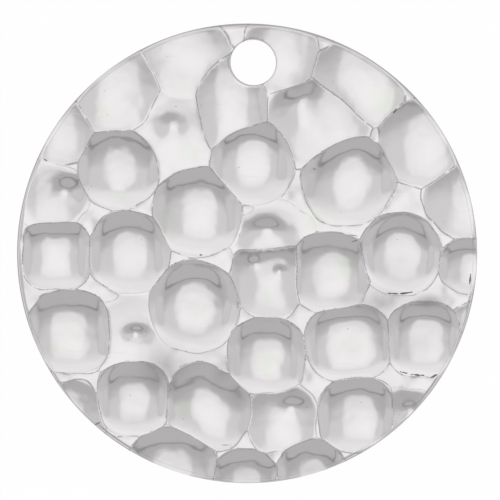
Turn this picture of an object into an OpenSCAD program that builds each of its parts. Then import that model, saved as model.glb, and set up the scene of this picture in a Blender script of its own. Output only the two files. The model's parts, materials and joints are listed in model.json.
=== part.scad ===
// Hammered disc pendant: one struck metal disc with a drilled hole for a jump ring.
// It lies on its flat back. The origin is the middle of the back, +Z leaves the struck face
// and +Y points at the hole. All lengths are in millimetres.

/* [Disc] */
// Diameter of the disc
disc_d = 25; // [18:0.5:40]
// Thickness of the metal where no strike has landed
disc_t = 1.2; // [0.9:0.1:2.5]
// Radius of the rounding along both edges of the rim
rim_round = 0.25; // [0.1:0.05:0.4]

/* [Hole] */
// Diameter of the drilled hole
hole_d = 2.5; // [1:0.1:3.5]
// Distance from the rim to the middle of the hole
hole_inset = 2.1; // [2:0.1:4]

/* [Strikes] */
// Diameter of a full strike of the hammer, measured on the face
strike_d = 4.2; // [3:0.1:6]
// Depth of a full strike at its middle
strike_depth = 0.34; // [0.1:0.02:0.5]
// Turn of the whole pattern of strikes about the middle of the disc, in degrees
strike_turn = 1.85; // [-180:0.05:180]

/* [Hidden] */
$fn = 96;

disc_r = disc_d / 2;
hole_y = disc_r - hole_inset;
// How far a cut runs past the face that it opens
past = 1;

// The strikes, read from the top of the disc to its bottom.
// x and y are the middle of the strike as shares of the disc's radius.
// across is a share of strike_d and deep is a share of strike_depth.
x = 0;
y = 1;
across = 2;
deep = 3;
strikes = [
    //  x,     y,  across, deep
    [-0.26,  0.87, 1.00, 0.60],
    [ 0.13,  0.87, 1.00, 0.60],
    [ 0.44,  0.78, 0.98, 0.80],
    [ 0.57,  0.68, 0.80, 0.65],
    [-0.54,  0.74, 1.00, 0.65],
    [-0.10,  0.75, 0.85, 0.75],
    [-0.06,  0.66, 0.95, 0.75],
    [ 0.27,  0.56, 1.15, 1.00],
    [-0.78,  0.55, 0.78, 0.65],
    [-0.30,  0.51, 0.90, 0.50],
    [ 0.73,  0.49, 1.12, 0.95],
    [ 0.02,  0.40, 1.12, 1.10],
    [-0.55,  0.39, 1.08, 1.10],
    [ 0.46,  0.33, 1.08, 1.05],
    [ 0.36,  0.26, 0.90, 0.80],
    [-0.84,  0.25, 0.88, 0.65],
    [ 0.90,  0.23, 0.98, 0.80],
    [-0.22,  0.19, 1.18, 1.10],
    [ 0.09,  0.10, 0.80, 0.50],
    [-0.51, -0.00, 1.08, 1.10],
    [-0.83, -0.01, 0.88, 0.90],
    [ 0.67,  0.00, 1.08, 1.15],
    [ 0.95, -0.05, 0.72, 0.60],
    [ 0.36, -0.08, 1.05, 0.95],
    [ 0.08, -0.13, 0.90, 0.80],
    [-0.23, -0.23, 1.20, 1.20],
    [ 0.97, -0.28, 0.45, 0.35],
    [-0.52, -0.37, 0.80, 0.50],
    [-0.77, -0.34, 1.08, 1.05],
    [ 0.40, -0.40, 0.92, 0.90],
    [ 0.49, -0.37, 0.92, 0.95],
    [ 0.77, -0.37, 0.98, 1.00],
    [ 0.08, -0.44, 1.00, 1.05],
    [-0.49, -0.63, 0.98, 1.00],
    [-0.18, -0.66, 1.05, 1.00],
    [ 0.71, -0.70, 0.72, 0.50],
    [-0.78, -0.71, 0.98, 1.00],
    [ 0.15, -0.72, 0.88, 0.60],
    [ 0.47, -0.70, 0.98, 0.90],
    [-0.32, -0.89, 0.95, 0.95],
    [ 0.28, -0.94, 0.92, 0.85],
    [ 0.00, -0.98, 0.85, 0.80],
];

// Half of the disc's section, from the axis out to the rounded rim
module section() {
    flat_r = disc_r - rim_round;
    square([flat_r, disc_t]);
    translate([0, rim_round])
        square([disc_r, disc_t - 2 * rim_round]);
    for (z = [rim_round, disc_t - rim_round])
        translate([flat_r, z])
            circle(r = rim_round);
}

// The round end of the hammer where it lands in one strike of the chart. The ball is turned so
// that neither of its poles touches the metal.
module hammer(strike) {
    a = strike[across] * strike_d / 2;
    d = strike[deep] * strike_depth;
    ball_r = (a * a + d * d) / (2 * d);
    translate([strike[x] * disc_r, strike[y] * disc_r, disc_t - d + ball_r])
        rotate([0, -90, 0])
            sphere(r = ball_r);
}

// The blank after the first strikes of the chart, each one cut from what the last one left
module struck(count) {
    if (count == 0)
        rotate_extrude()
            section();
    else
        difference() {
            struck(count - 1);
            rotate([0, 0, strike_turn])
                hammer(strikes[count - 1]);
        }
}

// The disc: a blank with a rounded rim, struck all over its face and drilled near the rim
module disc() {
    color("silver")
        difference() {
            struck(len(strikes));
            translate([0, hole_y, -past])
                cylinder(d = hole_d, h = disc_t + 2 * past);
        }
}

disc();
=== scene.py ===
"""Hammered disc pendant: one struck, silver plated disc with a drilled hole, in a white light tent."""

import json
import math

import bpy
from bpy.props import FloatProperty, FloatVectorProperty, IntProperty, PointerProperty
from mathutils import Matrix, Vector
from mathutils.geometry import delaunay_2d_cdt


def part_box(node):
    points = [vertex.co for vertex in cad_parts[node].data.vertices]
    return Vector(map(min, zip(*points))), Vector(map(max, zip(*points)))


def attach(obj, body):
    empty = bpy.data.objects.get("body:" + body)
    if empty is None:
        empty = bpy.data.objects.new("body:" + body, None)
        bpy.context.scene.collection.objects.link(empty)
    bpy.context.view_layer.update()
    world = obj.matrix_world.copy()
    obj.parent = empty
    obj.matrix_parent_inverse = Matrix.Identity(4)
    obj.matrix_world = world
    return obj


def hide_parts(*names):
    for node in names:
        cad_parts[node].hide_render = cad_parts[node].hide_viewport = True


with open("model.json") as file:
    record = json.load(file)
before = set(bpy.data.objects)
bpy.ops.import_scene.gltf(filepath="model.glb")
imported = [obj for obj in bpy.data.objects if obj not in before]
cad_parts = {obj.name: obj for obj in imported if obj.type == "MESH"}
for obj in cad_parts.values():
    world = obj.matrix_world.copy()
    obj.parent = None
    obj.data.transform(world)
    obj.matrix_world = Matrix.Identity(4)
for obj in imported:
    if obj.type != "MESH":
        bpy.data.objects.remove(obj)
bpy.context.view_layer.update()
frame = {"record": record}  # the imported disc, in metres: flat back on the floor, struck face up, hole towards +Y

bl_info = {
    "name": "Hammered Disc Pendant",
    "version": (1, 0, 0),
    "blender": (4, 5, 0),
    "location": "3D View > Sidebar > Pendant",
    "description": "Builds a hammered silver disc on its packed frame, with its tent and camera",
    "category": "Object",
}

MM = 0.001
_, DISC_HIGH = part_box("disc")
HOLE = next(mount for mount in frame["record"]["mounts"] if mount["name"] == "hole")

# The strikes in the order they land. x and y are the middle of the strike as shares of the disc's radius,
# with the hole up. wide and tall are shares of a full strike's width, and turn is the turn of that outline
# in degrees. deep is a share of a full strike's depth. soft is the blend at its lip in millimetres.
# square is the exponent of the outline, where 2 is round, and bowl is the exponent of the section.
# lean_x and lean_y are the slopes that the hammer leaned to the right and up. bell is 0 for a bowl with a
# crest, and otherwise the exponent of a bell that runs out flat.
STRIKE_COLUMNS = (
    "x", "y", "wide", "tall", "turn", "deep", "soft", "square", "bowl", "lean_x", "lean_y", "bell"
)
STRIKES = (
    (-0.265, 0.865, 1.28, 1.05, -10, 0.52, 0.03, 2.2, 2.2, 0.000, 0.000, 0),
    (-0.290, 0.520, 1.12, 1.10, 0, 0.36, 0.25, 2.2, 2.0, 0.010, 0.000, 0),
    (0.130, 0.870, 1.00, 1.00, 0, 0.50, 0.03, 2.2, 2.2, -0.020, 0.000, 0),
    (0.475, 0.760, 1.30, 0.98, -38, 0.60, 0.03, 2.3, 2.3, -0.010, 0.010, 0),
    (-0.500, 0.765, 1.08, 1.22, 0, 0.55, 0.04, 2.2, 2.2, 0.055, 0.040, 0),
    (-0.060, 0.665, 0.95, 1.42, 6, 0.70, 0.03, 2.6, 2.4, 0.020, 0.020, 0),
    (0.318, 0.560, 1.34, 1.15, 0, 0.50, 0.03, 2.3, 2.2, 0.000, -0.010, 0),
    (-0.780, 0.550, 0.82, 0.86, 0, 0.46, 0.03, 2.2, 2.2, 0.030, 0.030, 0),
    (0.730, 0.490, 1.12, 1.12, 0, 0.68, 0.03, 2.3, 2.4, -0.030, 0.000, 0),
    (-0.840, 0.250, 0.92, 0.92, 0, 0.42, 0.05, 2.3, 2.0, 0.000, 0.000, 1.5),
    (-0.550, 0.390, 1.08, 1.08, 0, 0.92, 0.02, 2.1, 2.6, 0.000, 0.030, 0),
    (0.020, 0.400, 1.12, 1.12, 0, 1.10, 0.02, 2.2, 2.9, 0.000, 0.000, 0),
    (0.442, 0.322, 1.24, 1.12, 38, 1.12, 0.03, 2.2, 2.6, 0.000, 0.000, 0),
    (0.910, 0.230, 1.00, 0.98, 0, 0.54, 0.03, 2.2, 2.2, -0.040, -0.010, 0),
    (-0.220, 0.190, 1.18, 1.18, 0, 1.10, 0.02, 2.3, 2.7, -0.020, 0.000, 0),
    (0.085, 0.080, 1.24, 0.94, 0, 0.47, 0.06, 2.3, 2.0, 0.000, 0.000, 3),
    (-0.510, -0.000, 1.08, 1.08, 0, 1.02, 0.02, 2.2, 2.8, 0.000, -0.014, 0),
    (-0.830, -0.010, 0.88, 0.88, 0, 0.78, 0.02, 3.2, 2.8, -0.010, -0.020, 0),
    (0.670, 0.000, 1.08, 1.08, 0, 1.08, 0.02, 2.1, 3.2, 0.010, -0.010, 0),
    (0.950, -0.050, 0.72, 0.72, 0, 0.60, 0.03, 2.3, 2.4, -0.020, 0.000, 0),
    (0.360, -0.080, 1.05, 1.05, 0, 0.92, 0.02, 2.5, 2.8, 0.000, 0.000, 0),
    (0.085, -0.145, 0.94, 0.95, 0, 0.70, 0.03, 3.0, 2.0, -0.020, -0.055, 0),
    (-0.230, -0.230, 1.20, 1.20, 0, 1.20, 0.02, 2.1, 3.1, 0.000, 0.000, 0),
    (0.970, -0.280, 0.45, 0.45, 0, 0.18, 0.03, 2.0, 2.4, 0.000, 0.000, 0),
    (-0.510, -0.340, 1.05, 1.10, 0, 0.26, 0.05, 2.4, 2.0, 0.000, 0.000, 1.5),
    (-0.770, -0.340, 1.08, 1.08, 0, 0.92, 0.02, 2.7, 2.8, 0.000, 0.000, 0),
    (0.445, -0.385, 1.12, 0.98, 5, 0.82, 0.02, 2.7, 4.0, 0.000, 0.000, 0),
    (0.770, -0.370, 0.98, 0.98, 0, 0.98, 0.02, 2.7, 3.2, 0.000, 0.000, 0),
    (0.080, -0.440, 1.00, 1.00, 0, 1.02, 0.02, 2.6, 2.9, -0.012, 0.010, 0),
    (-0.490, -0.630, 0.98, 0.98, 0, 1.00, 0.02, 2.4, 2.8, 0.000, 0.000, 0),
    (-0.155, -0.660, 1.20, 1.02, -35, 0.94, 0.02, 2.3, 2.4, 0.020, 0.010, 0),
    (0.710, -0.700, 0.72, 0.72, 0, 0.34, 0.05, 2.0, 2.2, 0.000, 0.000, 0),
    (-0.780, -0.710, 0.98, 0.98, 0, 0.48, 0.02, 2.0, 2.4, 0.000, 0.000, 0),
    (0.150, -0.720, 0.90, 0.90, 0, 0.52, 0.04, 2.5, 2.0, 0.000, 0.000, 0),
    (0.470, -0.700, 0.98, 0.98, 0, 0.80, 0.02, 2.6, 2.9, -0.020, 0.000, 0),
    (-0.325, -0.930, 1.18, 1.08, -8, 0.88, 0.02, 2.2, 2.6, 0.000, 0.010, 0),
    (0.280, -0.940, 0.92, 0.92, 0, 0.82, 0.02, 2.2, 2.6, 0.000, 0.040, 0),
    (-0.003, -0.985, 0.90, 0.86, 0, 0.68, 0.02, 2.2, 2.6, 0.000, 0.020, 0),
)

# Small hollows that the hammer's edge left inside the strikes. x and y are shares of the disc's radius.
# wide, tall and deep are in millimetres, turn in degrees.
TOUCH_COLUMNS = ("x", "y", "wide", "tall", "turn", "deep")
TOUCHES = (
    (-0.480, -0.350, 0.54, 0.44, 0, 0.108),
    (-0.780, 0.268, 0.70, 0.60, 0, 0.112),
    (0.086, 0.110, 0.72, 0.40, 0, 0.060),
    (0.034, -0.040, 0.30, 0.24, 0, 0.034),
    (0.143, -0.074, 0.28, 0.24, 0, 0.040),
    (0.206, -0.668, 0.60, 0.44, 0, 0.072),
    (0.710, -0.678, 0.50, 0.44, 0, 0.072),
    (-0.327, 0.560, 0.66, 0.60, 0, 0.098),
    (0.232, 0.676, 0.85, 0.60, 20, 0.085),
    (-0.560, 0.272, 1.00, 0.45, 0, 0.045),
    (0.235, 0.600, 1.05, 1.10, 0, 0.090),
)

# Faint swells of the rolled blank, which stay between the strikes. height is in millimetres, right and up
# are turns of the wave in radians to a millimetre, and start is its start in radians.
SWELL_COLUMNS = ("height", "right", "up", "start")
SWELLS = (
    (0.020, 1.3, 2.1, 0.4),
    (0.018, -2.3, 1.1, 1.9),
    (0.006, 4.1, 2.9, 3.1),
    (0.005, -3.3, 4.7, 5.0),
)

# Painted shade and stains on the plating. x and y are shares of the disc's radius. wide and tall are in
# millimetres, turn in degrees. dim is painted shade: how much darker the plating is painted there, where
# the sloped webs and walls show darker. hue is above 0 where the plating turns to green and below 0 where it
# turns to violet.
SHADE_AND_STAIN_COLUMNS = ("x", "y", "wide", "tall", "turn", "dim", "hue")
SHADE_AND_STAINS = (
    # painted shade between the strikes, and a few tints
    (-0.250, -0.470, 1.30, 0.60, 10, 0.09, -0.2),
    (-0.365, -0.490, 1.05, 1.15, 0, 0.32, -0.2),
    (-0.035, -0.600, 0.80, 0.50, -45, 0.14, -0.1),
    (-0.560, -0.200, 0.90, 0.45, 0, 0.06, -0.2),
    (0.580, -0.210, 1.10, 0.60, 0, 0.32, -0.1),
    (0.790, -0.200, 0.80, 0.32, 0, 0.46, 0.0),
    (0.430, -0.195, 0.50, 0.30, 0, 0.18, 0.0),
    (0.610, -0.420, 0.35, 0.90, 0, 0.04, 0.0),
    (-0.100, -0.500, 0.45, 0.75, -30, 0.22, 0.0),
    (0.720, 0.200, 0.50, 0.40, 0, 0.07, 0.0),
    (0.510, 0.540, 0.60, 0.50, 0, 0.05, 0.0),
    (0.290, 0.160, 0.70, 0.50, -30, 0.00, 0.9),
    (-0.250, 0.450, 0.60, 0.50, 0, 0.00, 0.7),
    (-0.270, 0.740, 1.00, 0.90, 0, 0.04, 0.5),
    # painted shade and tints in the strikes
    (-0.560, 0.250, 0.70, 0.40, 0, 0.00, 0.8),
    (-0.620, 0.620, 0.90, 0.40, 0, 0.00, 0.7),
    (0.600, 0.670, 0.75, 0.60, 20, 0.00, 1.0),
    (0.430, -0.050, 0.60, 0.80, 0, 0.04, 1.0),
    (0.095, -0.480, 0.60, 0.70, 0, 0.00, 0.9),
    (0.100, -0.180, 0.45, 0.50, 0, 0.00, 0.9),
    (-0.335, 0.150, 0.50, 0.60, 0, 0.03, 0.8),
    (-0.230, -0.230, 0.70, 0.70, 0, 0.03, 0.4),
    (-0.270, -0.680, 0.35, 0.50, 0, 0.05, 1.0),
    (0.450, -0.400, 0.80, 0.60, 0, 0.00, 0.6),
    (0.330, 0.810, 0.80, 0.90, 20, 0.11, -0.2),
    (0.450, 0.630, 0.55, 0.70, 35, 0.08, -0.2),
    (-0.150, 0.925, 1.00, 0.45, 8, 0.13, -0.2),
    (-0.366, 0.835, 0.55, 0.40, 30, 0.10, -0.1),
    (-0.145, 0.790, 0.55, 0.90, -20, 0.03, -0.1),
    (0.220, 0.755, 0.40, 0.45, 0, 0.27, -0.1),
    (-0.840, 0.220, 0.90, 0.80, 0, 0.04, 0.0),
    (-0.220, 0.280, 0.90, 0.40, 0, 0.05, -0.1),
    (0.085, 0.150, 0.70, 0.35, 0, 0.06, -0.1),
    (-0.830, -0.420, 0.60, 0.50, 0, 0.05, 0.7),
    (-0.740, -0.350, 0.50, 0.60, 0, 0.01, 0.5),
    (0.298, 0.289, 0.65, 1.10, -20, 0.11, -0.1),
    (0.060, 0.970, 0.70, 0.35, 0, 0.07, -0.2),
    (0.240, 0.900, 0.45, 0.60, 20, 0.09, -0.2),
    (-0.430, 0.770, 0.50, 0.90, -25, 0.07, -0.2),
    (-0.520, 0.680, 0.50, 0.30, 30, 0.07, 0.0),
    (0.345, 0.535, 0.40, 0.50, 0, 0.07, -0.2),
    (0.170, 0.600, 0.45, 0.50, 30, 0.05, 0.0),
    (-0.310, -0.900, 1.00, 0.50, 0, 0.05, -0.1),
    (0.000, -0.960, 1.00, 0.50, 0, 0.12, -0.1),
    (0.270, -0.940, 0.90, 0.50, 0, 0.12, -0.1),
    (-0.230, -0.350, 1.00, 0.45, 0, 0.13, -0.1),
    (0.670, -0.050, 0.95, 0.80, 0, 0.07, -0.1),
    (-0.490, -0.720, 0.80, 0.40, 0, 0.11, -0.1),
    (0.765, -0.400, 0.85, 0.75, 0, 0.09, 0.1),
    (0.920, -0.080, 0.40, 0.50, 0, 0.10, -0.1),
    (0.020, 0.280, 0.90, 0.35, 0, 0.05, -0.1),
)

# Black strokes of tarnish, thick in the middle and ragged. x and y are shares of the disc's radius.
# half_long and half_wide are in millimetres, turn is in degrees, and dark is how black the stroke is.
STROKE_COLUMNS = ("x", "y", "half_long", "half_wide", "turn", "dark")
STROKES = (
    (0.634, -0.168, 0.36, 0.050, -4, 1.00),
    (0.693, -0.166, 0.38, 0.050, 8, 1.00),
    (0.462, 0.085, 0.34, 0.030, -12, 0.75),
    (0.470, 0.060, 0.24, 0.030, 18, 0.70),
    (0.290, 0.372, 0.16, 0.060, -20, 0.60),
    (0.690, -0.514, 0.30, 0.055, -14, 1.00),
    (0.748, -0.524, 0.45, 0.055, -4, 0.95),
    (0.815, -0.527, 0.26, 0.060, 28, 0.95),
    (0.970, -0.105, 0.35, 0.050, 84, 0.90),
    (-0.650, -0.740, 0.25, 0.050, 30, 0.80),
    (-0.200, -0.002, 0.14, 0.055, 0, 0.90),
    (-0.875, 0.410, 0.28, 0.045, -30, 0.80),
    (0.645, 0.625, 0.30, 0.045, 48, 0.85),
    (-0.093, -0.832, 0.35, 0.040, 0, 0.45),
)

# Tones in the finished image of the tent's cloth, by where it hangs, and of what shows under it.
CLOTH = {
    "front": 0.905,
    "overhead": 0.815,
    "back": 0.75,
    "round_camera": 0.69,
    "front_left": 0.935,
    "low_front": 0.925,
    "dark_band": 0.62,
    "bright_band": 0.88,
    "table_side": 0.70,
}

# Panels of the tent that a strike mirrors, each in front of the ones before it. x and y are the middle of a
# panel and half_wide and half_tall its reach, as slopes away from straight overhead, in the directions in
# which a strike shows it. soft is its blurred edge, square the exponent of its outline, and tone its
# brightness in the finished image.
PANEL_COLUMNS = ("x", "y", "half_wide", "half_tall", "soft", "square", "tone")
PANELS = (
    # one in each side wall, in a darker frame
    (-0.550, 0.020, 0.150, 0.250, 0.03, 2.5, 0.755),
    (-0.550, 0.020, 0.125, 0.225, 0.03, 2.5, 0.785),
    (0.590, 0.020, 0.150, 0.250, 0.03, 2.5, 0.735),
    (0.590, 0.020, 0.125, 0.225, 0.03, 2.5, 0.790),
    # the opening that the camera looks through: pale, and brightest in the middle
    (0.055, -0.050, 0.175, 0.350, 0.03, 2.6, 0.885),
    (0.055, -0.060, 0.145, 0.210, 0.03, 2.6, 0.925),
    (0.055, -0.030, 0.080, 0.110, 0.05, 2.0, 0.950),
)
# The same for the grey arch behind the camera, in a darker frame. Its x and y are measured along the arch.
ARCH = (
    (0.000, 0.860, 0.465, 0.412, 0.02, 2.5, 0.500),
    (0.000, 0.860, 0.438, 0.385, 0.02, 2.3, 0.705),
)


class PendantDisc(bpy.types.PropertyGroup):
    """Sizes of the blank, its hole and the hammer."""

    radius: FloatProperty(
        name="Radius", description="From the middle to the rim", default=DISC_HIGH.x, unit="LENGTH"
    )
    thick: FloatProperty(
        name="Thickness", description="Metal between the strikes", default=DISC_HIGH.z, unit="LENGTH"
    )
    rim_round: FloatProperty(
        name="Rim rounding", description="Along both edges of the rim", default=0.25 * MM, unit="LENGTH"
    )
    hole_radius: FloatProperty(
        name="Hole radius",
        description="Of the drilled hole",
        default=HOLE["dims"]["r_mm"] * MM,
        unit="LENGTH",
    )
    hole_place: FloatProperty(
        name="Hole place",
        description="From the middle of the disc",
        default=HOLE["pos_m"][1],
        unit="LENGTH",
    )
    hole_round: FloatProperty(
        name="Hole edge",
        description="Rounding that the plating leaves there",
        default=0.06 * MM,
        unit="LENGTH",
    )
    strike_across: FloatProperty(
        name="Strike width", description="Of a full strike, on the face", default=4.2 * MM, unit="LENGTH"
    )
    strike_depth: FloatProperty(
        name="Strike depth",
        description="Of a full strike, at its middle",
        default=0.34 * MM,
        unit="LENGTH",
    )
    strike_turn: FloatProperty(
        name="Pattern turn",
        description="Of all strikes about the middle",
        default=math.radians(1.85),
        subtype="ANGLE",
    )
    sway: FloatProperty(
        name="Sway",
        description="How far the outlines of the strikes wander",
        default=0.08 * MM,
        unit="LENGTH",
    )
    sway_size: FloatProperty(
        name="Sway size", description="Length of one bend of them", default=1.6 * MM, unit="LENGTH"
    )
    lip_height: FloatProperty(
        name="Lip height", description="Metal pushed up round a strike", default=0.028 * MM, unit="LENGTH"
    )
    lip_fade: FloatProperty(
        name="Lip fade",
        description="Rise of the bowl past its crest that ends the lip",
        default=0.02 * MM,
        unit="LENGTH",
    )
    rim_blend: FloatProperty(
        name="Rim blend",
        description="Where a strike runs out over the rim",
        default=0.03 * MM,
        unit="LENGTH",
    )
    ripple: FloatProperty(
        name="Ripple height",
        description="Unevenness of the polished face",
        default=0.018 * MM,
        unit="LENGTH",
    )
    ripple_size: FloatProperty(
        name="Ripple size", description="Width of one swell of it", default=1.6 * MM, unit="LENGTH"
    )
    mesh_step: FloatProperty(
        name="Mesh step",
        description="Between points of the face, finer at the crests",
        default=0.12 * MM,
        unit="LENGTH",
    )
    rim_points: IntProperty(name="Rim points", description="Points round the rim", default=720)
    hole_points: IntProperty(name="Hole points", description="Points round the hole", default=120)


class PendantSilver(bpy.types.PropertyGroup):
    """Colours and polish of the plating."""

    silver: FloatVectorProperty(
        name="Silver",
        description="Colour of the clean plating",
        default=(0.973, 0.951, 0.951),
        subtype="COLOR",
    )
    violet: FloatVectorProperty(
        name="Violet",
        description="Colour of the plating where it has dulled",
        default=(0.955, 0.925, 0.938),
        subtype="COLOR",
    )
    green: FloatVectorProperty(
        name="Green",
        description="Colour of the plating where moisture sat",
        default=(0.90, 0.95, 0.87),
        subtype="COLOR",
    )
    # the dark colour of the tarnish strokes and pits, and of the painted shade on the webs, at the rim and along
    # the crests
    tarnish_and_shade: FloatVectorProperty(
        name="Tarnish and shade",
        description="Colour of the creases and strokes",
        default=(0.13, 0.12, 0.13),
        subtype="COLOR",
    )
    # painted shade along the crests that deepens their dark lines, with a little tarnish
    crest_shade: FloatProperty(
        name="Crest tarnish",
        description="How dark the creases along the crests are",
        default=0.52,
        subtype="FACTOR",
    )
    polish: FloatProperty(
        name="Roughness", description="Of the clean plating", default=0.08, subtype="FACTOR"
    )
    cloud_size: FloatProperty(
        name="Cloud size", description="Of the dull patches", default=2.6 * MM, unit="LENGTH"
    )
    grain_size: FloatProperty(
        name="Grain size", description="Of the finest marks", default=0.16 * MM, unit="LENGTH"
    )
    pit_space: FloatProperty(
        name="Pit spacing", description="Between places for a pit", default=0.30 * MM, unit="LENGTH"
    )
    wave_size: FloatProperty(
        name="Wave size", description="Of the polish's faint waves", default=0.42 * MM, unit="LENGTH"
    )


class PendantStage(bpy.types.PropertyGroup):
    """The floor and the camera."""

    ground: FloatProperty(name="Ground", description="Brightness of the white ground", default=0.99)
    floor: FloatProperty(name="Floor", description="Side of the white ground", default=1.2, unit="LENGTH")
    lens: FloatProperty(name="Lens", description="Focal length", default=400.0, subtype="DISTANCE_CAMERA")


CREST_FADE = 0.02 * MM  # height over which the mark of a crest fades to 1/e beside it
CREST_NEAR = 1.4  # times that height, over which the mesh is finer
CREST_END = (0.65, 0.80)  # shares of the thickness between which the lines down the rim end
BORDER_END = (0.60, 0.70)  # the same for the line where the face meets the rim
SHARP_SOFT = 0.03 * MM  # blend up to which a strike pushes up its full lip
BACK_STEP = 1.5 * MM  # between points of the plain back
ROUND_STEP = 15  # degrees of a rounded edge to one ring of points
SLIVER = 0.12  # nearest that a point on a crest comes to the end of its edge, as a share of the edge

PIXELS = 500  # across the image
SENSOR = 36.0  # across Blender's sensor, in millimetres
SCALE = 18.43  # pixels to a millimetre of the face
LEAN = Vector((0.035, 0.07, 1.0))  # from the disc to the camera, seen in the image's own directions
AIM = (0.185 * MM, 0.244 * MM)  # the image's middle from the disc's, to the right and up


class Wire:
    """One output of a node. Arithmetic on it adds Math nodes to its tree."""

    def __init__(self, socket):
        self.socket = socket
        self.tree = socket.id_data

    def math(self, operation, *others, **settings):
        return add(self.tree, "ShaderNodeMath", {"operation": operation, **settings}, [self, *others])

    def __add__(self, other):
        return self.math("ADD", other)

    __radd__ = __add__

    def __mul__(self, other):
        return self.math("MULTIPLY", other)

    __rmul__ = __mul__

    def __sub__(self, other):
        return self.math("SUBTRACT", other)

    def __rsub__(self, other):
        return add(self.tree, "ShaderNodeMath", {"operation": "SUBTRACT"}, [other, self])

    def __truediv__(self, other):
        return self.math("DIVIDE", other)

    def __rtruediv__(self, other):
        return add(self.tree, "ShaderNodeMath", {"operation": "DIVIDE"}, [other, self])

    def __pow__(self, other):
        return self.math("POWER", other)

    def __abs__(self):
        return self.math("ABSOLUTE")


def add(tree, kind, settings=None, sockets=None, out=0):
    """Adds a node, sets its settings first, then its sockets, and returns one of its outputs as a Wire."""
    made = tree.nodes.new(kind)
    for name, value in (settings or {}).items():
        setattr(made, name, value)
    pairs = sockets.items() if isinstance(sockets, dict) else enumerate(sockets or ())
    for key, value in pairs:
        if isinstance(value, Wire):
            tree.links.new(value.socket, made.inputs[key])
        else:
            made.inputs[key].default_value = value
    return Wire(made.outputs[out]) if made.outputs else made


def ease(value, start, end):
    """0 up to start and 1 from end on, with a smooth step between them."""
    return add(
        value.tree,
        "ShaderNodeMapRange",
        {"interpolation_type": "SMOOTHSTEP"},
        {"Value": value, "From Min": start, "From Max": end},
    )


def mix(first, second, share):
    """first where share is 0 and second where it is 1."""
    tree = share.tree
    return add(tree, "ShaderNodeMix", {"data_type": "FLOAT"}, {0: share, 2: first, 3: second})


def tint(first, second, share):
    """The same for two colours."""
    tree = share.tree
    return add(tree, "ShaderNodeMix", {"data_type": "RGBA"}, {0: share, 6: first, 7: second}, out=2)


def soft_min(first, second, blend):
    """The lower of two heights, rounded over where they cross."""
    near = (blend - abs(first - second)).math("MAXIMUM", 0.0)
    return first.math("MINIMUM", second) - near * near / (blend * 4.0)


def ring(count, radius, middle=0.0):
    """Points round a circle whose middle is that far up +Y, anticlockwise."""
    turns = (2 * math.pi * k / count for k in range(count))
    return [(radius * math.cos(t), middle + radius * math.sin(t)) for t in turns]


def triangles(rim, hole, inner):
    """Triangles over the flat between two rings and the points between them, facing up."""
    points = [Vector(p) for p in (*rim, *hole, *inner)]
    edges = [(k, (k + 1) % len(rim)) for k in range(len(rim))]
    edges += [(len(rim) + k, len(rim) + (k + 1) % len(hole)) for k in range(len(hole))]
    _, _, faces, origins, _, _ = delaunay_2d_cdt(points, edges, [], 0, 1e-9)
    if len(origins) != len(points):
        raise RuntimeError("the points of the face were merged or split")
    name = {k: found[0] for k, found in enumerate(origins)}
    hole_names = range(len(rim), len(rim) + len(hole))
    made = []
    for face in faces:
        corners = [name[k] for k in face]
        if all(k in hole_names for k in corners):
            continue
        a, b, c = (points[k] for k in corners)
        if (b - a).cross(c - a) < 0:
            corners.reverse()
        made.append(corners)
    return made


def lattice(step, inside):
    """Points of a triangular lattice where inside(x, y) holds."""
    rise = step * math.sqrt(3) / 2
    reach = int(DISC_HIGH.x / rise) + 2
    made = []
    for row in range(-reach, reach + 1):
        shift = step / 2 if row % 2 else 0.0
        for column in range(-reach, reach + 1):
            x, y = column * step + shift, row * rise
            if inside(x, y):
                made.append((x, y))
    return made


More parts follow.
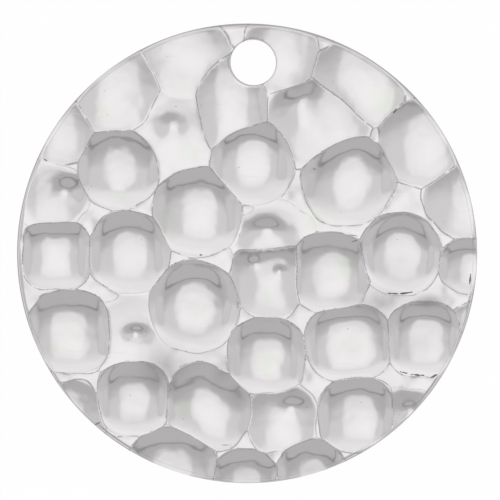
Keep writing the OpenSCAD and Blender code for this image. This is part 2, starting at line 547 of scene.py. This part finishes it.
def blank(sizes, finer):
    """The disc before the strikes: points, faces, and for each point how it takes the hammer.

    finer holds points that the struck face has besides its even lattice.
    """
    flat_radius = sizes.radius - sizes.rim_round
    hole_flat = sizes.hole_radius + sizes.hole_round
    points, face_share, rim_drop, hole_drop, faces = [], [], [], [], []

    def put(ring_points, height, share, rim=0.0, hole=0.0):
        start = len(points)
        for x, y in ring_points:
            points.append((x, y, height))
            face_share.append(share)
            rim_drop.append(rim)
            hole_drop.append(hole)
        return list(range(start, len(points)))

    def band(upper, lower, outwards):
        count = len(upper)
        for k in range(count):
            n = (k + 1) % count
            quad = (upper[k], lower[k], lower[n], upper[n])
            faces.append(quad if outwards else quad[::-1])

    def flat(step, height, share, up, finer=()):
        clear = step * 0.4

        def inside(x, y):
            far = math.hypot(x, y) < flat_radius - clear
            return far and math.hypot(x, y - sizes.hole_place) > hole_flat + clear

        rim = ring(sizes.rim_points, flat_radius)
        hole = ring(sizes.hole_points, hole_flat, sizes.hole_place)
        inner = lattice(step, inside) + [point for point in finer if inside(*point)]
        corners = triangles(rim, hole, inner)
        names = [*put(rim, height, share), *put(hole, height, share), *put(inner, height, share)]
        for corner in corners:
            triangle = [names[k] for k in corner]
            faces.append(triangle if up else triangle[::-1])
        return names[: len(rim)], names[len(rim) : len(rim) + len(hole)]

    rim_top, hole_top = flat(sizes.mesh_step, sizes.thick, 1.0, True, finer)
    rim_back, hole_back = flat(BACK_STEP, 0.0, 0.0, False)
    turns = [math.radians(t) for t in range(ROUND_STEP, 91, ROUND_STEP)]
    rim_rings, hole_rings = [rim_top], [hole_top]
    for t in turns:
        drop = sizes.rim_round * (1 - math.cos(t))
        circle = ring(sizes.rim_points, flat_radius + sizes.rim_round * math.sin(t))
        rim_rings.append(put(circle, sizes.thick, 1.0, rim=drop))
    for t in turns[1::2]:
        drop = sizes.hole_round * (1 - math.cos(t))
        circle = ring(sizes.hole_points, hole_flat - sizes.hole_round * math.sin(t), sizes.hole_place)
        hole_rings.append(put(circle, sizes.thick, 1.0, hole=drop))
    for t in turns[::-1]:
        circle = ring(sizes.rim_points, flat_radius + sizes.rim_round * math.sin(t))
        rim_rings.append(put(circle, sizes.rim_round * (1 - math.cos(t)), 0.0))
    for t in turns[::-2]:
        circle = ring(sizes.hole_points, hole_flat - sizes.hole_round * math.sin(t), sizes.hole_place)
        hole_rings.append(put(circle, sizes.hole_round * (1 - math.cos(t)), 0.0))
    rim_rings.append(rim_back)
    hole_rings.append(hole_back)
    for upper, lower in zip(rim_rings, rim_rings[1:]):
        band(upper, lower, True)
    for upper, lower in zip(hole_rings, hole_rings[1:]):
        band(upper, lower, False)
    return points, faces, {"face_share": face_share, "rim_drop": rim_drop, "hole_drop": hole_drop}


def new_mesh(name, points, faces, marks):
    """A mesh object with one float for each point under each name in marks."""
    mesh = bpy.data.meshes.new(name)
    mesh.from_pydata(points, [], faces)
    for mark, values in marks.items():
        layer = mesh.attributes.new(mark, "FLOAT", "POINT")
        layer.data.foreach_set("value", values)
    mesh.update()
    made = bpy.data.objects.new(name, mesh)
    bpy.context.scene.collection.objects.link(made)
    return made


def chart(name, columns, rows):
    """One point for each row, with the row's number and its values under the names of its columns."""
    marks = {"number": [k + 1.0 for k in range(len(rows))], **dict(zip(columns, zip(*rows)))}
    return new_mesh(name, [(0.0, 0.0, 0.0)] * len(rows), [], marks)


def crest_points(mesh, level, ends_near):
    """Points of a pressed face where its crests cross its edges, and halfway along edges near a crest.

    ends_near is how many ends of such an edge have to be near it.
    """
    place = [vertex.co for vertex in mesh.vertices]
    # the mark fades evenly from the crest outwards, so its logarithm is a distance
    far = [-math.log(min(max(mark.value, 1e-9), 0.999)) for mark in mesh.attributes["crest"].data]
    owner = [mark.value for mark in mesh.attributes["owner"].data]
    made = []
    for edge in mesh.edges:
        a, b = edge.vertices
        crossed = owner[a] != owner[b]
        near = (far[a] < CREST_NEAR) + (far[b] < CREST_NEAR) >= ends_near
        if min(place[a].z, place[b].z) < level or not (crossed or near):
            continue
        share = far[a] / (far[a] + far[b]) if crossed else 0.5
        if SLIVER < share < 1 - SLIVER:
            point = place[a].lerp(place[b], share)
            made.append((point.x, point.y))
    return made


def hammering():
    """The tree that presses every strike of a chart into the face of a blank, one after another."""
    tree = bpy.data.node_groups.new("hammering", "GeometryNodeTree")
    tree.interface.new_socket(name="Blank", in_out="INPUT", socket_type="NodeSocketGeometry")
    for name in ("Strikes", "Touches", "Stains"):
        tree.interface.new_socket(name=name, in_out="INPUT", socket_type="NodeSocketObject")
    for name in (
        "Radius",
        "Strike Across",
        "Strike Depth",
        "Pattern Turn",
        "Sway",
        "Sway Size",
        "Lip Height",
        "Lip Fade",
        "Rim Blend",
        "Ripple Height",
        "Ripple Size",
    ):
        tree.interface.new_socket(name=name, in_out="INPUT", socket_type="NodeSocketFloat")
    tree.interface.new_socket(name="Finish", in_out="INPUT", socket_type="NodeSocketMaterial")
    tree.interface.new_socket(name="Struck", in_out="OUTPUT", socket_type="NodeSocketGeometry")
    given_node = tree.nodes.new("NodeGroupInput")
    given = {socket.name: Wire(socket) for socket in given_node.outputs if socket.name}

    def named(name):
        return add(tree, "GeometryNodeInputNamedAttribute", {"data_type": "FLOAT"}, {"Name": name})

    def store(geometry, name, value):
        return add(
            tree,
            "GeometryNodeStoreNamedAttribute",
            {"data_type": "FLOAT", "domain": "POINT"},
            {"Geometry": geometry, "Name": name, "Value": value},
        )

    def split(vector):
        return [add(tree, "ShaderNodeSeparateXYZ", {}, {0: vector}, out=k) for k in range(3)]

    def noise(size, detail, out):
        sockets = {"Vector": place, "Scale": 1.0 / size, "Detail": detail, "Roughness": 0.5}
        return add(tree, "ShaderNodeTexNoise", {"noise_dimensions": "3D"}, sockets, out=out)

    def turned(x, y, turn):
        """x and y along two axes that are turned by that angle."""
        cos, sin = turn.math("COSINE"), turn.math("SINE")
        return x * cos + y * sin, y * cos - x * sin

    def from_middle(charted, x, y):
        """x and y as seen from a row's middle."""
        return x - charted("x") * given["Radius"], y - charted("y") * given["Radius"]

    def spot(charted, x, y):
        """1 in a row's middle, fading to 1/e as far out as it is wide and tall."""
        along, across = turned(*from_middle(charted, x, y), charted("turn") * math.radians(1))
        along, across = along / (charted("wide") * MM), across / (charted("tall") * MM)
        return (along * along * -1.0 - across * across).math("EXPONENT")

    def each_row(geometry, chart, step):
        """Runs step(geometry, charted) for each row of the chart. charted(name) is the row's own value."""
        rows = add(tree, "GeometryNodeObjectInfo", {}, {"Object": chart}, out="Geometry")
        counted = {"Geometry": rows}
        count = add(
            tree, "GeometryNodeAttributeDomainSize", {"component": "MESH"}, counted, out="Point Count"
        )
        start = tree.nodes.new("GeometryNodeRepeatInput")
        end = tree.nodes.new("GeometryNodeRepeatOutput")
        start.pair_with_output(end)
        tree.links.new(geometry.socket, start.inputs["Geometry"])
        tree.links.new(count.socket, start.inputs["Iterations"])

        def charted(name):
            return add(
                tree,
                "GeometryNodeSampleIndex",
                {"data_type": "FLOAT", "domain": "POINT"},
                {"Geometry": rows, "Value": named(name), "Index": Wire(start.outputs["Iteration"])},
            )

        changed = step(Wire(start.outputs["Geometry"]), charted)
        tree.links.new(changed.socket, end.inputs["Geometry"])
        return Wire(end.outputs["Geometry"])

    place = add(tree, "GeometryNodeInputPosition")
    x, y, _ = split(place)
    right, ahead = turned(x, y, given["Pattern Turn"])

    # the rolled blank is never quite flat
    swell = 0.0
    for row in SWELLS:
        wave = dict(zip(SWELL_COLUMNS, row))
        turn = right * (wave["right"] / MM) + ahead * (wave["up"] / MM) + wave["start"]
        swell = turn.math("SINE") * (wave["height"] * MM) + swell
    rolled = store(given["Blank"], "sunk", swell)

    # the outlines of the strikes wander a little, as the hammer's face isn't true
    sway_x, sway_y, _ = split(noise(given["Sway Size"], 1.0, "Color"))
    swayed_right = right + (sway_x - 0.5) * given["Sway"] * 2.0
    swayed_ahead = ahead + (sway_y - 0.5) * given["Sway"] * 2.0

    def strike(geometry, charted):
        # the point as the strike sees it: from its middle, along its own two axes
        away_x, away_y = from_middle(charted, swayed_right, swayed_ahead)
        along, across = turned(away_x, away_y, charted("turn") * math.radians(1))

        # the outline is a superellipse, and the bowl is a power of how far out the point lies
        half = given["Strike Across"] * 0.5
        half_wide, half_tall = charted("wide") * half, charted("tall") * half
        square = charted("square")
        out = (abs(along / half_wide) ** square + abs(across / half_tall) ** square) ** (1.0 / square)
        depth = charted("deep") * given["Strike Depth"]
        bowl = depth * (out ** charted("bowl") - 1.0)
        inside = 1.0 - out * out
        bell = inside.math("MAXIMUM", 0.0) ** charted("bell").math("MAXIMUM", 1.0) * -1.0
        bell = depth * (bell + (inside * -2.0).math("MAXIMUM", 0.0))
        pressed = mix(bowl, bell, charted("bell").math("GREATER_THAN", 0.5))
        pressed = pressed + charted("lean_x") * away_x + charted("lean_y") * away_y
        soft = charted("soft") * MM

        # metal that the hammer pushes up just outside its mark
        rise = (pressed - named("sunk")).math("MAXIMUM", 0.0)
        sharp = (SHARP_SOFT / soft).math("MINIMUM", 1.0)
        lip = given["Lip Height"] * sharp * (rise / given["Lip Fade"] * -1.0).math("EXPONENT")
        height = named("sunk") + lip

        # how near a point is to the crest between two strikes, for the finish
        gap = pressed - height
        crest = (abs(gap) / CREST_FADE * -1.0).math("EXPONENT") * sharp
        kept = named("crest") * ease(gap, 0.0, CREST_FADE)
        marked = store(geometry, "crest", crest.math("MAXIMUM", kept))
        owner = mix(named("owner"), charted("number"), gap.math("LESS_THAN", 0.0))
        marked = store(marked, "owner", owner)
        return store(marked, "sunk", soft_min(height, pressed, soft))

    def touch(geometry, charted):
        hollow = spot(charted, right, ahead)
        return store(geometry, "sunk", named("sunk") - hollow * charted("deep") * MM)

    # painted shade and tints of the plating, laid down from the chart in soft spots
    def shade_and_stain(geometry, charted):
        cloud = spot(charted, swayed_right, swayed_ahead)
        shaded_and_stained = store(geometry, "dim", named("dim") + cloud * charted("dim"))
        return store(shaded_and_stained, "hue", named("hue") + cloud * charted("hue"))

    hammered = each_row(rolled, given["Strikes"], strike)
    hammered = each_row(hammered, given["Touches"], touch)
    hammered = each_row(hammered, given["Stains"], shade_and_stain)

    # the face is let down onto the rounded rim and hole edge, and given its faint unevenness
    ripple = (noise(given["Ripple Size"], 2.0, 0) - 0.5) * given["Ripple Height"] * 2.0
    rim = named("rim_drop") * -1.0
    level = soft_min(named("sunk"), rim, given["Rim Blend"])
    level = level - named("hole_drop") + ripple
    offset = add(tree, "ShaderNodeCombineXYZ", {}, {"Z": level * named("face_share")})
    moved = add(tree, "GeometryNodeSetPosition", {}, {"Geometry": hammered, "Offset": offset})
    for name in ("sunk", "rim_drop", "hole_drop", "face_share"):
        moved = add(tree, "GeometryNodeRemoveAttribute", {}, {"Geometry": moved, "Name": name})
    smooth = add(tree, "GeometryNodeSetShadeSmooth", {}, {"Geometry": moved, "Shade Smooth": True})
    whole = add(tree, "GeometryNodeRealizeInstances", {}, {"Geometry": smooth})
    finished = add(tree, "GeometryNodeSetMaterial", {}, {"Geometry": whole, "Material": given["Finish"]})
    result = tree.nodes.new("NodeGroupOutput")
    tree.links.new(finished.socket, result.inputs["Struck"])
    return tree


def silver_plating(finish, sizes):
    """Bright plating over the hammered face: faint clouds, dull crests, pits, hair lines and tarnish, with painted
    shade on the webs, at the rim and along the crests.
    """
    made = bpy.data.materials.new("silver_plating")
    made.use_nodes = True
    tree = made.node_tree
    tree.nodes.clear()
    place = add(tree, "ShaderNodeTexCoord", out="Object")
    x, y, z = (add(tree, "ShaderNodeSeparateXYZ", {}, {0: place}, out=k) for k in range(3))

    def colour(values):
        return (*values, 1.0)

    def mark(name):
        return add(tree, "ShaderNodeAttribute", {"attribute_name": name}, out="Fac")

    def noise(size, detail, shift=0.0, vector=place):
        moved = add(tree, "ShaderNodeVectorMath", {"operation": "ADD"}, {0: vector, 1: (shift * MM, 0, 0)})
        sockets = {"Vector": moved, "Scale": 1.0 / size, "Detail": detail}
        return add(tree, "ShaderNodeTexNoise", {"noise_dimensions": "3D"}, sockets, out=0)

    def hair_lines(turn, size, shift):
        """Straight fine scratches in one direction, few and faint."""
        sockets = {"Vector": place, "Rotation": (0, 0, math.radians(turn)), "Scale": (0.04, 1.0, 1.0)}
        drawn = add(tree, "ShaderNodeMapping", {}, sockets)
        here = ease(noise(3.0 * MM, 1.0, shift + 9.0), 0.52, 0.62)
        return ease(noise(size, 1.0, shift, drawn), 0.66, 0.74) * here

    # the lines along the crests end at the rim and don't run down its wall
    crest = mark("crest") * ease(z, sizes.thick * CREST_END[0], sizes.thick * CREST_END[1])
    dim, hue = mark("dim"), mark("hue")
    near = crest.math("MAXIMUM", 1e-4) ** 0.22
    cloud = noise(finish.cloud_size, 3.0)
    fine = noise(finish.grain_size, 2.0, 5.0)
    broken = noise(finish.grain_size * 3.5, 2.0, 11.0)

    # clouds: violet where the plating has dulled, green where moisture sat
    skin = tint(colour(finish.silver), colour(finish.violet), ease(cloud, 0.46, 0.66) * 0.8)
    skin = tint(skin, colour(finish.violet), ease(hue * -1.0, 0.0, 1.0) * 0.6)
    skin = tint(skin, colour(finish.green), ease(hue + (broken - 0.5) * 0.8, 0.1, 1.0) * 0.7)

    # black strokes, each a thin ellipse with a ragged edge
    cos, sin = math.cos(sizes.strike_turn), math.sin(sizes.strike_turn)
    right, ahead = x * cos + y * sin, y * cos - x * sin
    ragged = (fine - 0.5) * 2.6 + (broken - 0.5) * 2.2
    black = 0.0
    for row in STROKES:
        stroke = dict(zip(STROKE_COLUMNS, row))
        turn = math.radians(stroke["turn"])
        away_x, away_y = right - stroke["x"] * sizes.radius, ahead - stroke["y"] * sizes.radius
        along = (away_x * math.cos(turn) + away_y * math.sin(turn)) / (stroke["half_long"] * MM)
        across = (away_y * math.cos(turn) - away_x * math.sin(turn)) / (stroke["half_wide"] * MM)
        inked = ease(1.0 + ragged - along * along - across * across, 0.15, 0.55)
        black = (inked * stroke["dark"]).math("MAXIMUM", black)

    # a painted dark line of shade where the face meets the rounded rim, and painted shade on the rim on the side
    # of the hole
    reach = (x * x + y * y).math("SQRT")
    inner = sizes.radius - sizes.rim_round
    rim_crease_shade = (abs(reach - inner - 0.03 * MM) / (0.05 * MM) * -1.0).math("EXPONENT") * 0.55
    rim_crease_shade = rim_crease_shade * ease(z, sizes.thick * BORDER_END[0], sizes.thick * BORDER_END[1])
    on_rim = ease(reach, inner - 0.05 * MM, inner + 0.05 * MM)
    # painted shade: the rim is painted darker on the side of the hole
    rim_shade = on_rim * ease(ahead / sizes.radius, 0.50, 0.85) * 0.13

    # painted shade and tarnish: the painted shade of the chart and the rim, painted dark lines of shade along the
    # crests with a little tarnish, and small pits near them
    shaded_and_stained = (dim + rim_shade) * (1.0 + (broken - 0.5) * 0.6)
    line = ease(crest.math("MAXIMUM", rim_crease_shade), 0.25, 0.80) * ease(broken, 0.28, 0.52) * finish.crest_shade
    sockets = {"Vector": place, "Scale": 1.0 / finish.pit_space}
    speck = add(tree, "ShaderNodeTexVoronoi", {"feature": "F1"}, sockets, out=0)
    chance = noise(0.6 * MM, 1.0, 17.0) + near * 0.12
    pit = ease(0.14 - speck, 0.0, 0.08) * ease(chance, 0.67, 0.73)
    dark = line.math("MAXIMUM", shaded_and_stained).math("MAXIMUM", pit * 0.5)
    skin = tint(skin, colour(finish.tarnish_and_shade), dark.math("MAXIMUM", black * 0.92).math("MINIMUM", 0.92))

    hairs = hair_lines(38, 0.10 * MM, 21.0).math("MAXIMUM", hair_lines(-52, 0.12 * MM, 33.0))
    rough = finish.polish + dark * 0.3 + black * 0.35 + hairs * 0.10
    rough = rough + ease(cloud, 0.5, 0.7) * 0.04 + crest * 0.05
    wavy = noise(finish.wave_size, 1.0, 41.0)
    height = wavy * 1.6 + fine * (0.10 + near * 0.3) - pit - hairs * 0.3
    bump = add(tree, "ShaderNodeBump", {}, {"Strength": 1.0, "Distance": 0.001 * MM, "Height": height})
    sockets = {"Metallic": 1.0, "Base Color": skin, "Roughness": rough, "Normal": bump}
    shader = add(tree, "ShaderNodeBsdfPrincipled", {}, sockets)
    result = tree.nodes.new("ShaderNodeOutputMaterial")
    tree.links.new(shader.socket, result.inputs["Surface"])
    return made


class PENDANT_OT_disc(bpy.types.Operator):
    """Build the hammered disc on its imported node"""

    bl_idname = "pendant.disc"
    bl_label = "Hammered disc"

    def execute(self, context):
        sizes = context.scene.pendant_disc
        charts = {
            "Strikes": chart("strikes", STRIKE_COLUMNS, STRIKES),
            "Touches": chart("touches", TOUCH_COLUMNS, TOUCHES),
            "Stains": chart("stains", SHADE_AND_STAIN_COLUMNS, SHADE_AND_STAINS),
        }
        values = {
            **charts,
            "Radius": sizes.radius,
            "Strike Across": sizes.strike_across,
            "Strike Depth": sizes.strike_depth,
            "Pattern Turn": sizes.strike_turn,
            "Sway": sizes.sway,
            "Sway Size": sizes.sway_size,
            "Lip Height": sizes.lip_height,
            "Lip Fade": sizes.lip_fade,
            "Rim Blend": sizes.rim_blend,
            "Ripple Height": sizes.ripple,
            "Ripple Size": sizes.ripple_size,
            "Finish": silver_plating(context.scene.pendant_silver, sizes),
        }
        tree = hammering()

        def press(finer):
            """The struck disc, with those points on its face besides the even ones."""
            points, faces, marks = blank(sizes, finer)
            for mark in ("sunk", "crest", "owner", "dim", "hue"):
                marks[mark] = [0.0] * len(points)
            piece = new_mesh("hammered_disc", points, faces, marks)
            work = piece.modifiers.new("hammering", "NODES")
            work.node_group = tree
            for item in tree.interface.items_tree:
                if item.in_out == "INPUT" and item.name in values:
                    work[item.identifier] = values[item.name]
            context.view_layer.update()
            graph = context.evaluated_depsgraph_get()
            struck = bpy.data.meshes.new_from_object(piece.evaluated_get(graph), depsgraph=graph)
            piece.modifiers.remove(work)
            piece.data = struck
            return piece

        # two first pressings show where the crests run, and the next has points on them and beside them
        finer = []
        for ends_near in (2, 1):
            trial = press(finer)
            finer += crest_points(trial.data, sizes.thick / 2, ends_near)
            bpy.data.objects.remove(trial)
        piece = press(finer)
        piece.name = piece.data.name = "hammered_disc"
        for used in charts.values():
            bpy.data.objects.remove(used)
        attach(piece, "root")
        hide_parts("disc")
        return {"FINISHED"}


def linear(tone):
    """A tone of the finished image, from 0 to 1, as light."""
    return ((tone + 0.055) / 1.055) ** 2.4


def light_tent(turn):
    """The tent of white cloth that the metal mirrors, as one world. The camera itself sees plain white."""
    world = bpy.data.worlds.new("light_tent")
    world.use_nodes = True
    tree = world.node_tree
    tree.nodes.clear()
    ray = add(tree, "ShaderNodeTexCoord", out="Generated")
    dx, dy, dz = (add(tree, "ShaderNodeSeparateXYZ", {}, {0: ray}, out=k) for k in range(3))
    up = dz.math("MAXIMUM", 0.02)

    # a hollow turns what it mirrors upside down, so right and over are where a strike shows that direction
    right = (dx * math.cos(turn) + dy * math.sin(turn)) / up * -1.0
    over = (dy * math.cos(turn) - dx * math.sin(turn)) / up * -1.0
    reach = (right * right + over * over).math("SQRT")

    def hang(tone, rows, x, y):
        """The tent's tone with those panels hung in it."""
        for row in rows:
            cut = dict(zip(PANEL_COLUMNS, row))
            across, along = (x - cut["x"]) / cut["half_wide"], (y - cut["y"]) / cut["half_tall"]
            far = (abs(across) ** cut["square"] + abs(along) ** cut["square"]) ** (1.0 / cut["square"])
            blend = cut["soft"] / min(cut["half_wide"], cut["half_tall"])
            tone = mix(tone, linear(cut["tone"]), 1.0 - ease(far, 1.0 - blend, 1.0 + blend))
        return tone

    # the walls: pale in front, grey at the back, darkest round the camera, white in front on the left
    cloth = {name: linear(tone) for name, tone in CLOTH.items()}
    tone = mix(cloth["front"], cloth["overhead"], ease(over, -0.44, -0.10))
    tone = mix(tone, cloth["back"], ease(over, 0.02, 0.32))
    aside = right - 0.05
    back = ease(over + aside * aside * 0.8, 0.10, 0.34) * (1.0 - ease(abs(aside), 0.40, 0.70))
    tone = mix(tone, cloth["round_camera"], back)
    tone = mix(tone, cloth["front_left"], ease(over * -1.0 - right * 0.40, 0.52, 0.74))
    tone = mix(tone, cloth["low_front"], ease(reach, 0.78, 0.96) * ease(over * -1.0, 0.25, 0.55))

    # the panels, and the grey arch, which bends and fans out behind the camera
    tone = hang(tone, PANELS, right, over)
    arched = over + aside * aside * 1.6
    fanned = (right - 0.035) / (1.0 + (over - 0.37).math("MAXIMUM", 0.0) * 0.35)
    tone = hang(tone, ARCH, fanned, arched)

    # low down: a dark band, a bright one and the grey side of the table
    tone = mix(tone, cloth["dark_band"], ease(reach, 1.10, 1.35))
    tone = mix(tone, cloth["bright_band"], ease(reach, 1.70, 1.90))
    tone = mix(tone, cloth["table_side"], ease(dz * -1.0, -0.10, 0.02))
    seen = add(tree, "ShaderNodeLightPath", out="Is Camera Ray")
    glow = tree.nodes.new("ShaderNodeBackground")
    tree.links.new(mix(tone, 1.0, seen).socket, glow.inputs["Color"])
    result = tree.nodes.new("ShaderNodeOutputWorld")
    tree.links.new(glow.outputs[0], result.inputs["Surface"])
    return world


class PENDANT_OT_stage(bpy.types.Operator):
    """Set the floor, the light tent and the camera"""

    bl_idname = "pendant.stage"
    bl_label = "Floor, tent and camera"

    def execute(self, context):
        scene = context.scene
        stage = scene.pendant_stage
        scene.world = light_tent(scene.pendant_disc.strike_turn)
        scene.view_settings.view_transform = "Standard"

        half = stage.floor / 2
        corners = [(-half, -half, 0), (half, -half, 0), (half, half, 0), (-half, half, 0)]
        floor = new_mesh("floor", corners, [(0, 1, 2, 3)], {})
        paper = bpy.data.materials.new("white_paper")
        paper.use_nodes = True
        shader = paper.node_tree.nodes["Principled BSDF"]
        shader.inputs["Base Color"].default_value = (0.02, 0.02, 0.02, 1)
        shader.inputs["Roughness"].default_value = 0.9
        shader.inputs["Specular IOR Level"].default_value = 0.0
        shader.inputs["Emission Color"].default_value = (1, 1, 1, 1)
        # the tent's light on the paper adds the last hundredth
        shader.inputs["Emission Strength"].default_value = stage.ground - 0.01
        floor.data.materials.append(paper)
        floor.visible_glossy = False

        roll = scene.pendant_disc.strike_turn
        right = Vector((math.cos(roll), math.sin(roll), 0))
        ahead = Vector((-math.sin(roll), math.cos(roll), 0))
        back = (right * LEAN.x + ahead * LEAN.y + Vector((0, 0, LEAN.z))).normalized()
        up = (ahead - back * ahead.dot(back)).normalized()
        side = up.cross(back)
        distance = stage.lens * PIXELS / (SENSOR * SCALE) * MM
        target = Vector((0, 0, scene.pendant_disc.thick)) + side * AIM[0] + up * AIM[1]
        data = bpy.data.cameras.new("camera")
        data.lens = stage.lens
        data.sensor_width = SENSOR
        data.clip_start = 0.01
        data.clip_end = 10.0
        camera = bpy.data.objects.new("camera", data)
        scene.collection.objects.link(camera)
        camera.location = target + back * distance
        camera.rotation_euler = Matrix((side, up, back)).transposed().to_euler()
        scene.camera = camera
        return {"FINISHED"}


class PENDANT_PT_panel(bpy.types.Panel):
    """The pendant's sizes and steps"""

    bl_idname = "PENDANT_PT_panel"
    bl_label = "Hammered disc pendant"
    bl_space_type = "VIEW_3D"
    bl_region_type = "UI"
    bl_category = "Pendant"

    def draw(self, context):
        layout = self.layout
        scene = context.scene
        for group in (scene.pendant_disc, scene.pendant_silver, scene.pendant_stage):
            box = layout.box()
            for name in group.__annotations__:
                box.prop(group, name)
        layout.operator(PENDANT_OT_disc.bl_idname)
        layout.operator(PENDANT_OT_stage.bl_idname)


CLASSES = (PendantDisc, PendantSilver, PendantStage, PENDANT_OT_disc, PENDANT_OT_stage, PENDANT_PT_panel)


def register():
    for made in CLASSES:
        bpy.utils.register_class(made)
    bpy.types.Scene.pendant_disc = PointerProperty(type=PendantDisc)
    bpy.types.Scene.pendant_silver = PointerProperty(type=PendantSilver)
    bpy.types.Scene.pendant_stage = PointerProperty(type=PendantStage)


def unregister():
    del bpy.types.Scene.pendant_stage
    del bpy.types.Scene.pendant_silver
    del bpy.types.Scene.pendant_disc
    for made in reversed(CLASSES):
        bpy.utils.unregister_class(made)


def main():
    register()
    bpy.ops.pendant.disc()
    bpy.ops.pendant.stage()


if __name__ == "__main__":
    main()
